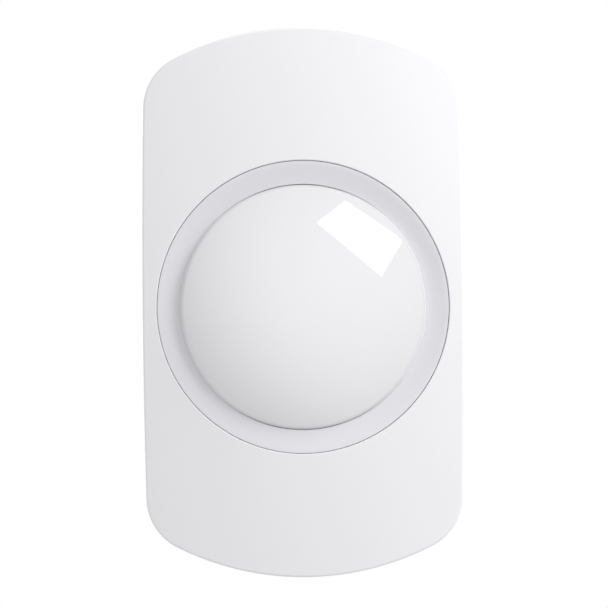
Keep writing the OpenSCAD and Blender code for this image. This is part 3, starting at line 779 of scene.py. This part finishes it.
def terminal_screw_set():
    """The terminal block's slotted screws."""
    head_r, head_h, shank_r, slot, depth = 1.35, 1.3, 0.9, 0.24, 0.65
    form, cut = Form(), Form()
    for box in parts("terminal_screws"):
        at, (tip, top) = box.middle(), box.z
        seat = top - head_h
        form.lathe([(0, tip), (shank_r - 0.15, tip), (shank_r, tip + 0.15), (shank_r, seat),
                    (head_r - 0.1, seat), (head_r, seat + 0.1), (head_r, top - 0.15), (head_r - 0.15, top),
                    (0, top)], at, 32)
        form.thread(at, shank_r - 0.06, shank_r + 0.06, tip + 0.3, seat - 0.2, 0.5)
        cut.block(around(at[0], 2), around(at[1], slot), (top - depth, top + 1), 0)
    form.piece("terminal_screw_set", "base", "screw_steel", ["terminal_screws"], cut=cut)


def captive_screw():
    """The cover's screw, with a groove for its clip near the tip."""
    box, clip = node_box("cover_screw"), node_box("screw_clip")
    head_y, tip = box.y
    seat = head_y + 1.75
    low, high = clip.y[0] - 0.05, clip.y[1] + 0.05
    head_r, core, crest, groove_r, pitch, recess, reach = box.size()[0] / 2, 1.26, 1.45, 1.1, 0.5, 1.1, 1.8
    profile = [(0, tip), (0.9, tip), (crest, tip - 0.4), (crest, high), (groove_r, high), (groove_r, low),
               (crest, low), (crest, clip.y[0] - 0.2), (core, clip.y[0] - 0.35), (core, seat),
               (head_r - 0.1, seat), (head_r, seat - 0.1), (head_r, seat - 0.7)]
    profile += [(1.7 + (head_r - 1.7) * cos(a), seat - 0.7 - 1.05 * sin(a))
                for a in arc(12, 90, 6)]
    form, cut = Form(), Form()
    form.lathe(profile + [(0, head_y)], steps=64, turn=lying(box))
    form.thread((0, 0), core, crest, seat + 0.6, clip.y[0] - 0.4, pitch, lying(box))
    cross_cut(cut, (0, 0), head_y - 1, head_y + recess, reach, lying(box))
    form.piece("captive_screw", "screw", "screw_steel", ["cover_screw"], cut=cut)


def spring_clip():
    """E-shaped clip: an open ring with three inward prongs that sit in the screw's groove."""
    box = node_box("screw_clip")
    outer, inner, prong, opening, edge = box.size()[0] / 2, 1.75, 1.15, 32, 0.07

    def contour(inset, level):
        ring = [((outer - inset) * cos(a), (outer - inset) * sin(a), level)
                for a in arc(opening, 360 - opening, 48)]
        for a in arc(360 - opening, opening, 72):
            from_prong = abs((degrees(a) + 30) % 120 - 90)
            reach = mix(prong, inner, min(1, max(0, (from_prong - 9) / 9))) + inset
            ring.append((reach * cos(a), reach * sin(a), level))
        return ring

    low, high = box.y
    form = Form()
    form.loft([contour(edge, low), contour(0, low + edge), contour(0, high - edge), contour(edge, high)],
              turn=lying(box) @ Matrix.Rotation(radians(-90), 4, "Z"))
    form.piece("spring_clip", "clip", "clip_steel", ["screw_clip"])


def button_spring():
    """Coil spring under the tamper plunger."""
    box = node_box("tamper_spring")
    wire_r, turns, steps = 0.2, 3.5, 28
    x, y = box.middle()
    coil_r = box.size()[0] / 2 - wire_r
    low, high = box.z[0] + wire_r, box.z[1] - wire_r
    path = []
    for i in range(int(turns * steps) + 1):
        turned = i / steps
        climb = min(1, max(0, (turned - 0.6) / (turns - 1.2)))
        a = 2 * pi * turned
        path.append((x + coil_r * cos(a), y + coil_r * sin(a), mix(low, high, climb)))
    form = Form()
    form.wire(path, wire_r)
    spring = form.piece("button_spring", None, "screw_steel", ["tamper_spring"])
    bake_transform(spring)


# ---- base and board

BOARD_TOP = node_box("circuit_board").z[1]


def cable_ring():
    """Rubber grommet with rounded lips on both sides of its neck."""
    box = node_box("cable_grommet")
    wall, top = box.z
    lip_r = box.size()[0] / 2
    body_r, bore_r, neck, edge = lip_r - 1.1, 2.4, wall + 2.8, 0.2
    form = Form()
    form.lathe([(bore_r, wall + 0.3), (bore_r + 0.3, wall), (body_r - edge, wall), (body_r, wall + edge),
                (body_r, neck), (lip_r - edge, neck), (lip_r, neck + edge), (lip_r, top - 0.3),
                (lip_r - 0.1, top - 0.1), (lip_r - 0.3, top), (bore_r + 0.4, top), (bore_r + 0.1, top - 0.12),
                (bore_r, top - 0.4)], box.middle(), 72, wrap=True)
    form.piece("cable_ring", "base", "grommet_rubber", ["cable_grommet"])


def led_lamp():
    """Round-topped lamp with a thin flange."""
    box = node_box("status_led")
    low, top = box.z
    radius, flange_r = 1.5, box.size()[0] / 2
    profile = [(0, low), (flange_r - 0.05, low), (flange_r, low + 0.05), (flange_r, low + 0.5),
               (flange_r - 0.1, low + 0.6), (radius, low + 0.62)]
    profile += [(radius * cos(a), top - radius + radius * sin(a)) for a in arc(0, 90, 12)]
    form = Form()
    form.lathe(profile, box.middle(), 48)
    form.piece("led_lamp", "base", "led_glass", ["status_led"])


def gull_leads(form, pads, box, axis, count, pitch, width, reach, sides=(-1, 1)):
    """Bent leads along two sides of a part, each on a solder pad. axis is the way they point."""
    thick, low = 0.13, box.z[0]
    shoulder, foot = mix(low, box.z[1], 0.4), low + 0.08
    path = ((-0.1, shoulder), (reach * 0.25, shoulder), (reach * 0.42, shoulder - 0.12),
            (reach * 0.5, foot + 0.25), (reach * 0.62, foot), (reach, foot))
    along_x = axis == "x"
    middle, half = box.middle(), box.size()[0 if along_x else 1] / 2
    across = (0, 1, 0) if along_x else (1, 0, 0)

    def placed(out, off):
        return (middle[0] + out, middle[1] + off) if along_x else (middle[0] + off, middle[1] + out)

    for side in sides:
        for i in range(count):
            off = (i - (count - 1) / 2) * pitch
            form.ribbon([(*placed(side * (half + d), off), z) for d, z in path], width, thick, across)
            near, far = side * (half + reach * 0.5), side * (half + reach + 0.2)
            pad = (placed(near, off - width / 2 - 0.1), placed(far, off + width / 2 + 0.1))
            x, y = [sorted(ends) for ends in zip(*pad)]
            pads.block(x, y, pad_levels(low), 0)


def pad_levels(low):
    """A solder pad's bottom and top, on a board whose surface is at low."""
    return (low - 0.02, low + 0.035)


def shrunk(box, by):
    """The same box, smaller by by on each side and raised off the board."""
    lift = 0.12
    return Box((box.x[0] + by, box.x[1] - by), (box.y[0] + by, box.y[1] - by), (box.z[0] + lift, box.z[1]))


def moulded_part(name, box, node, mark=0.35):
    """A moulded component body with drafted sides and a dimple by its first lead."""
    edge, draft, waist = 0.16, 0.1, mix(box.z[0], box.z[1], 0.45)

    def section(inset, z):
        x0, x1, y0, y1 = box.x[0] + inset, box.x[1] - inset, box.y[0] + inset, box.y[1] - inset
        return [(x0 + edge, y0, z), (x1 - edge, y0, z), (x1, y0 + edge, z), (x1, y1 - edge, z),
                (x1 - edge, y1, z), (x0 + edge, y1, z), (x0, y1 - edge, z), (x0, y0 + edge, z)]

    form, dimple = Form(), Form()
    form.loft([section(draft, box.z[0]), section(0, waist - 0.04), section(0, waist + 0.04),
               section(draft, box.z[1] - 0.08), section(draft + 0.08, box.z[1])])
    dimple.lathe([(mark, box.z[1] - 0.07), (mark, box.z[1] + 1)], (box.x[0] + 0.95, box.y[1] - 0.95), 24)
    form.piece(name, "base", "chip_plastic", [node], cut=dimple)


def relay_pair(leads, pads):
    """Two small signal relays: ribbed cases with a groove along the middle of the top."""
    form, cut = Form(), Form()
    ribs, rib_pitch, rib_w, rib_depth, groove = 5, 1.7, 0.22, 0.1, 0.22
    for case in parts("alarm_relays"):
        (x, y), (low, top) = case.middle(), case.z
        form.block(case.x, case.y, (low + 0.3, top), 0.28, 3)
        for side in case.x:
            for i in range(ribs):
                rib = y + (i - (ribs - 1) / 2) * rib_pitch
                form.block(around(side, rib_depth), around(rib, rib_w), (low + 0.5, top - 0.5), 0.05)
        cut.block(around(x, groove), (case.y[0] + 1.2, case.y[1] - 1.2), (top - 0.12, top + 1), 0)
        cut.lathe([(0.4, top - 0.1), (0.4, top + 1)], (case.x[0] + 1.2, case.y[1] - 1.2), 24)
        gull_leads(leads, pads, case, "x", 4, 2.1, 0.5, 0.9)
    form.piece("relay_pair", "base", "relay_plastic", ["alarm_relays"], cut=cut)


def capacitor_pair():
    """Surface-mount electrolytic cans, crimped above a square base with two cut corners."""
    cans, bases = Form(), Form()
    for box in parts("electrolytic_capacitors"):
        (x, y), (low, top) = box.middle(), box.z
        half = box.size()[0] / 2
        can_r, crimp_r, cut = half - 0.05, half - 0.28, 1.0
        cans.lathe([(0, low + 0.7), (half - 0.2, low + 0.7), (can_r, low + 0.85), (can_r, low + 1.5),
                    (crimp_r, low + 1.7), (crimp_r, low + 1.85), (can_r, low + 2.05), (can_r, top - 0.45),
                    (half - 0.15, top - 0.15), (half - 0.4, top), (half - 0.5, top),
                    (half - 0.6, top - 0.1), (0, top - 0.1)], (x, y), 64)
        plan = [(-half, -half), (half, -half), (half, half - cut), (half - cut, half), (cut - half, half),
                (-half, half - cut)]
        bases.loft([[(x + a, y + b, z) for a, b in plan] for z in (low, low + 0.72)])
        for side in (-1, 1):
            bases.block(around(x, 0.35), sorted((y + side * (half - 0.05), y + side * (half + 0.35))),
                        (low, low + 0.16), 0.03)
    cans.piece("capacitor_cans", "base", "capacitor_aluminium", ["electrolytic_capacitors"])
    bases.piece("capacitor_bases", "base", "chip_plastic")


def chip_set(pads):
    """Ceramic capacitors and, every third one, a flatter black resistor, with tinned ends."""
    tan, dark, ends = Form(), Form(), Form()
    cap, edge, margin = 0.34, 0.05, 0.3
    for i, box in enumerate(parts("chip_components")):
        resistor = i % 3 == 1
        low, top = box.z[0], box.z[1] - (0.14 if resistor else 0)
        left, right = box.x
        y = (box.y[0] + 0.02, box.y[1] - 0.02)
        body = dark if resistor else tan
        body.block((left + cap - 0.03, right - cap + 0.03), y, (low + 0.02, top - 0.03), edge)
        for side in (left, right - cap):
            ends.block((side, side + cap), box.y, (low + 0.01, top), edge)
        for x in ((left - margin, left + cap), (right - cap, right + margin)):
            pads.block(x, (box.y[0] - 0.1, box.y[1] + 0.1), pad_levels(low), 0)
    tan.piece("chip_bodies", "base", "chip_ceramic", ["chip_components"])
    dark.piece("chip_resistors", "base", "chip_plastic")
    ends.piece("chip_ends", "base", "can_steel")


def crystal_can():
    """Crystal: a lid seam-welded on a ceramic base."""
    box = node_box("crystal")
    waist = mix(box.z[0], box.z[1], 0.45)
    base, lid = Form(), Form()
    base.block(box.x, box.y, (box.z[0], waist), 0.12)
    x, y = [(side[0] + 0.22, side[1] - 0.22) for side in (box.x, box.y)]
    lid.block(x, y, (waist - 0.05, box.z[1]), 0.2, 3)
    base.piece("crystal_base", "base", "chip_ceramic", look="sensor_ceramic")
    lid.piece("crystal_lid", "base", "can_steel", ["crystal"])


def trace(form, start, end):
    """A track from start to end: one straight run along the longer way, then one slanted run."""
    half = 0.14
    run, drop = end[0] - start[0], end[1] - start[1]
    slant = min(abs(run), abs(drop))
    down = abs(drop) > abs(run)
    if down:
        bend = (start[0], end[1] - copysign(slant, drop))
    else:
        bend = (end[0] - copysign(slant, run), start[1])
    side = Vector((half, 0, 0)) if down else Vector((0, half, 0))
    rings = []
    for point in (start, bend, end):
        low, high = (Vector((*point, height)) for height in (BOARD_TOP - 0.02, BOARD_TOP + 0.025))
        rings.append([low - side, low + side, high + side, high - side])
    form.loft(rings)


def tracks(pads):
    """Copper tracks under the solder mask, and the plated holes where they end."""
    form = Form()
    controller, amplifier, dip = (node_box(n) for n in ("microcontroller", "amplifier_chip", "dip_switch"))
    terminals_y = node_box("terminal_block").y[0] + 0.2
    links = []
    for i, screw in enumerate(parts("terminal_screws")):
        x = screw.middle()[0]
        links.append(((x, terminals_y), (x * 0.82, 27.0 - 0.25 * abs(i - 3.5))))
    for i in range(8):
        x = controller.x[0] + 1.2 + i * 0.8
        links.append(((x, controller.y[0] - 1.0), (x + 6.5, controller.y[0] - 8.5)))
        links.append(((x, controller.y[1] + 1.0), (x - 0.6, controller.y[1] + 6.0)))
    for i in range(7):
        y, stagger = amplifier.y[0] + 0.6 + i * 1.27, 0.3 * (i % 2)
        links.append(((amplifier.x[1] + 1.2, y), (amplifier.x[1] + 4.6 + stagger, y - 1.1)))
        links.append(((amplifier.x[0] - 1.2, y), (amplifier.x[0] - 2.4 - stagger, y - 0.5)))
    for i in range(4):
        y = dip.y[0] + 1.8 + i * 2.54
        links.append(((dip.x[1] + 1.1, y), (dip.x[1] + 4.4, y + 1.4)))
        links.append(((dip.x[0] - 1.1, y), (dip.x[0] - 3.6, y + 1.0)))
    hole_r, plate_r, low, high = 0.18, 0.4, BOARD_TOP - 0.02, BOARD_TOP + 0.03
    for start, end in links:
        trace(form, start, end)
        pads.lathe([(hole_r, low), (plate_r, low), (plate_r, high), (hole_r, high)], end, 20, wrap=True)
    form.piece("board_tracks", "base", "board_laminate", look="board_tracks")


def legend():
    """White printed frames round the parts; nothing is written."""
    form = Form()
    line, margin, z = 0.16, 0.45, around(BOARD_TOP, 0.02)
    framed = [node_box(n) for n in ("dip_switch", "trimmer_body", "tamper_switch", "crystal",
                                    "terminal_block")]
    for box in framed + parts("electrolytic_capacitors"):
        x, y = [(side[0] - margin, side[1] + margin) for side in (box.x, box.y)]
        for level in y:
            form.block((x[0] - line, x[1] + line), around(level, line / 2), z, 0)
        for side in x:
            form.block(around(side, line / 2), y, z, 0)
    led = node_box("status_led")
    r = led.size()[0] / 2 + margin
    form.lathe([(r, z[0]), (r + line, z[0]), (r + line, z[1]), (r, z[1])], led.middle(), 40, wrap=True)
    form.piece("board_legend", "base", "inner_plastic")


def board_parts():
    """Everything soldered to the board that is more than its CAD node."""
    leads, pads = Form(), Form()
    relay_pair(leads, pads)
    capacitor_pair()
    chip_set(pads)
    crystal_can()
    led_lamp()
    controller, amplifier, regulator = (
        shrunk(node_box(node), by)
        for node, by in (("microcontroller", 0.5), ("amplifier_chip", 0), ("voltage_regulator", 0)))
    for axis in "xy":
        gull_leads(leads, pads, controller, axis, 8, 0.8, 0.34, 0.95)
    moulded_part("controller_chip", controller, "microcontroller")
    gull_leads(leads, pads, amplifier, "x", 7, 1.27, 0.42, 1.05)
    moulded_part("amplifier_body", amplifier, "amplifier_chip")
    gull_leads(leads, pads, regulator, "y", 3, 2.3, 0.7, 1.5, sides=(-1,))
    gull_leads(leads, pads, regulator, "y", 1, 1, 3.0, 1.5, sides=(1,))
    moulded_part("regulator_body", regulator, "voltage_regulator", mark=0.25)
    gull_leads(leads, pads, node_box("dip_switch"), "x", 4, 2.54, 0.6, 1.0)
    gull_leads(leads, pads, node_box("tamper_switch"), "x", 2, 4.5, 0.7, 1.0)
    gull_leads(leads, pads, node_box("trimmer_body"), "y", 2, 4.0, 0.8, 1.0)
    tracks(pads)
    leads.piece("component_leads", "base", "brass_contacts", look="tinned_leads")
    pads.piece("solder_pads", "base", "can_steel", look="solder")
    legend()


# ---- CAD nodes that keep their shape

# Their rounded edges' size in mm
KEPT_EDGES = {
    "rear_base": 0.15, "circuit_board": 0, "sensor_header": 0.08, "sensor_elements": 0.05, "sensor_can": 0.28,
    "sensor_window": 0.05, "sensor_hood": 0.2, "terminal_block": 0.12, "terminal_clamps": 0.08,
    "dip_switch": 0.12, **{f"dip_slider_{i}": 0.15 for i in range(1, 5)},
    "trimmer_body": 0.18, "trimmer_rotor": 0.12, "tamper_switch": 0.2, "tamper_plunger": 0.15,
    "lens_seal": 0.12, "lens_retainer": 0.18,
}


def keep(node, slot, edge):
    """Gives a CAD node its material and small rounded edges."""
    obj = frame["nodes"][node]
    obj.data.materials.clear()
    obj.data.materials.append(FINISH[slot])
    imported = obj.data.attributes.get("custom_normal")
    if imported:
        obj.data.attributes.remove(imported)
    obj.data.shade_smooth()
    weld = obj.modifiers.new("weld", "WELD")
    weld.merge_threshold = 0.000004
    if edge:
        bevel = obj.modifiers.new("rounded_edges", "BEVEL")
        bevel.width = edge * MM
        bevel.segments = 2
        bevel.angle_limit = radians(40)
    else:
        split = obj.modifiers.new("sharp_edges", "EDGE_SPLIT")
        split.split_angle = SMOOTH_ANGLE
    obj.modifiers.new("face_normals", "WEIGHTED_NORMAL")


# ---- studio

FILL = 0.76
FILL_COLOUR = (0.985, 0.985, 1.0)
SURROUND = (0.78, 0.79, 0.8)
KEY_POWER = 3.1
KEY_SIZE = 0.5
KEY_DISTANCE = 0.7
KEY_OFF_AXIS = 63  # degrees away from the front face's axis
KEY_LIFT = 38  # degrees above level, seen from the front
SOFTBOX_GLOW = 6.0
SOFTBOX_DISTANCE = 0.6
SOFTBOX_STEPS = 8
# corners of the bright patch on the lens, in mm from its middle
HIGHLIGHT_CORNERS = ((2.9, 16.9), (8.6, 21.4), (20.3, 13.4), (15.8, 6.0))
LENS_LENGTH, SENSOR_WIDTH = 200.0, 36.0
# the camera takes in VIEW_WIDTH mm, measured VIEW_DEPTH mm from the wall, round VIEW_MIDDLE
VIEW_WIDTH, VIEW_DEPTH = 120.5, 30.0
VIEW_MIDDLE = (0.18, -0.36)
VIEW_ROLL = -0.47


def background(tree, colour, strength=1.0):
    """An even surround."""
    return add_node(tree, "Background", {"Color": (*colour, 1), "Strength": strength}).outputs[0]


def mixed(tree, share, first, second):
    """Two shaders mixed, with that share of the second."""
    return add_node(tree, "MixShader", {0: share, 1: first, 2: second}).outputs[0]


def world_light():
    """An even fill, and a pale surround that turns white behind the object's front."""
    world = bpy.data.worlds.new("studio")
    bpy.context.scene.world = world
    world.use_nodes = True
    tree = world.node_tree
    tree.nodes.clear()
    direction = add_node(tree, "TexCoord").outputs["Generated"]
    spot = tree.nodes.new("ShaderNodeMapRange")
    spot.interpolation_type = "SMOOTHSTEP"
    set_inputs(tree, spot, {"Value": add_node(tree, "SeparateXYZ", {0: direction}).outputs["Y"],
                            "From Min": 0.86, "From Max": 0.985})
    white = background(tree, (1, 1, 1))
    backdrop = mixed(tree, spot.outputs["Result"], background(tree, SURROUND), white)
    seen = add_node(tree, "LightPath").outputs["Is Camera Ray"]
    light = mixed(tree, seen, background(tree, FILL_COLOUR, FILL), backdrop)
    add_node(tree, "OutputWorld", {"Surface": light})


def key_light():
    """Soft key from the upper right, well off the front face's axis."""
    data = bpy.data.lights.new("key", "AREA")
    data.shape = "SQUARE"
    data.size = KEY_SIZE
    data.energy = KEY_POWER
    data.color = (1, 1, 1)
    obj = new_object("key", data)
    off, up = radians(KEY_OFF_AXIS), radians(KEY_LIFT)
    aim = Vector((sin(off) * cos(up), -cos(off), sin(off) * sin(up)))
    obj.location = aim * KEY_DISTANCE
    obj.rotation_mode = "QUATERNION"
    obj.rotation_quaternion = aim.to_track_quat("Z", "Y")
    obj.visible_glossy = False


def plain_object(name, corners, faces, finish):
    """Part of the studio: a mesh that isn't part of the object."""
    mesh = bpy.data.meshes.new(name)
    mesh.from_pydata(corners, [], faces)
    mesh.materials.append(finish)
    obj = new_object(name, mesh)
    return obj


def reflected(x, y):
    """Where a level line of sight goes after it meets the dome at x, y from its middle."""
    facing = Vector((x, y, sqrt(DOME_SPHERE_R**2 - x**2 - y**2))).normalized()
    return 2 * facing.z * facing - Vector((0, 0, 1))


def softbox():
    """The rectangular softbox that shows as the bright patch on the lens."""
    a, b, c, d = (Vector(place) for place in HIGHLIGHT_CORNERS)
    corners = []
    for i in range(SOFTBOX_STEPS + 1):
        for j in range(SOFTBOX_STEPS + 1):
            u, v = i / SOFTBOX_STEPS, j / SOFTBOX_STEPS
            spot = mix(mix(a, b, u), mix(d, c, u), v)
            level = DOME_SPHERE_Z + sqrt(DOME_SPHERE_R**2 - spot.length_squared)
            start = Vector((spot.x, LENS_Y + spot.y, level))
            corners.append(row(*(start + reflected(*spot) * SOFTBOX_DISTANCE / MM)))
    wide = SOFTBOX_STEPS + 1
    faces = [(i * wide + j, i * wide + j + 1, (i + 1) * wide + j + 1, (i + 1) * wide + j)
             for i in range(SOFTBOX_STEPS) for j in range(SOFTBOX_STEPS)]
    glow = bpy.data.materials.new("softbox_glow")
    glow.use_nodes = True
    tree = glow.node_tree
    tree.nodes.clear()
    light = add_node(tree, "Emission", {"Strength": SOFTBOX_GLOW})
    add_node(tree, "OutputMaterial", {"Surface": light.outputs[0]})
    obj = plain_object("softbox", corners, faces, glow)
    obj.visible_diffuse = False
    obj.visible_camera = False
    obj.visible_shadow = False


def floor():
    """Plain pale paper, well below the object."""
    half, level = 4.0, -0.8
    corners = [(-half, -half, level), (half, -half, level), (half, half, level), (-half, half, level)]
    paper = surface("floor_paper", (0.86, 0.86, 0.86), 0.8, patch=300, grain=2, relief=0.05)
    plain_object("floor", corners, [(0, 1, 2, 3)], paper)


def camera():
    """Looks straight at the wall, rolled a little."""
    data = bpy.data.cameras.new("camera")
    data.lens = LENS_LENGTH
    data.sensor_width = SENSOR_WIDTH
    data.clip_start = 0.01
    obj = new_object("camera", data)
    obj.location = row(*VIEW_MIDDLE, VIEW_DEPTH + LENS_LENGTH * VIEW_WIDTH / SENSOR_WIDTH)
    obj.rotation_mode = "QUATERNION"
    look = Matrix(((1, 0, 0), (0, 0, -1), (0, 1, 0)))
    roll = Matrix.Rotation(radians(VIEW_ROLL), 3, "Z")
    obj.rotation_quaternion = (look @ roll).to_quaternion()
    bpy.context.scene.camera = obj


def main():
    bpy.context.scene.view_settings.view_transform = "Standard"
    world_light()
    key_light()
    softbox()
    floor()
    camera()
    cover_shell()
    screw_lug()
    bezel_ring()
    lens_shell()
    pan_screws("board_screw_pair", "board_screws", "base", 1)
    pan_screws("retainer_screw_set", "retainer_screws", "cover", -1)
    terminal_screw_set()
    captive_screw()
    spring_clip()
    button_spring()
    cable_ring()
    board_parts()
    slots = {part["node"]: part["material_slot"] for part in frame["record"]["subparts"]}
    for node, edge in KEPT_EDGES.items():
        keep(node, slots[node], edge)


main()
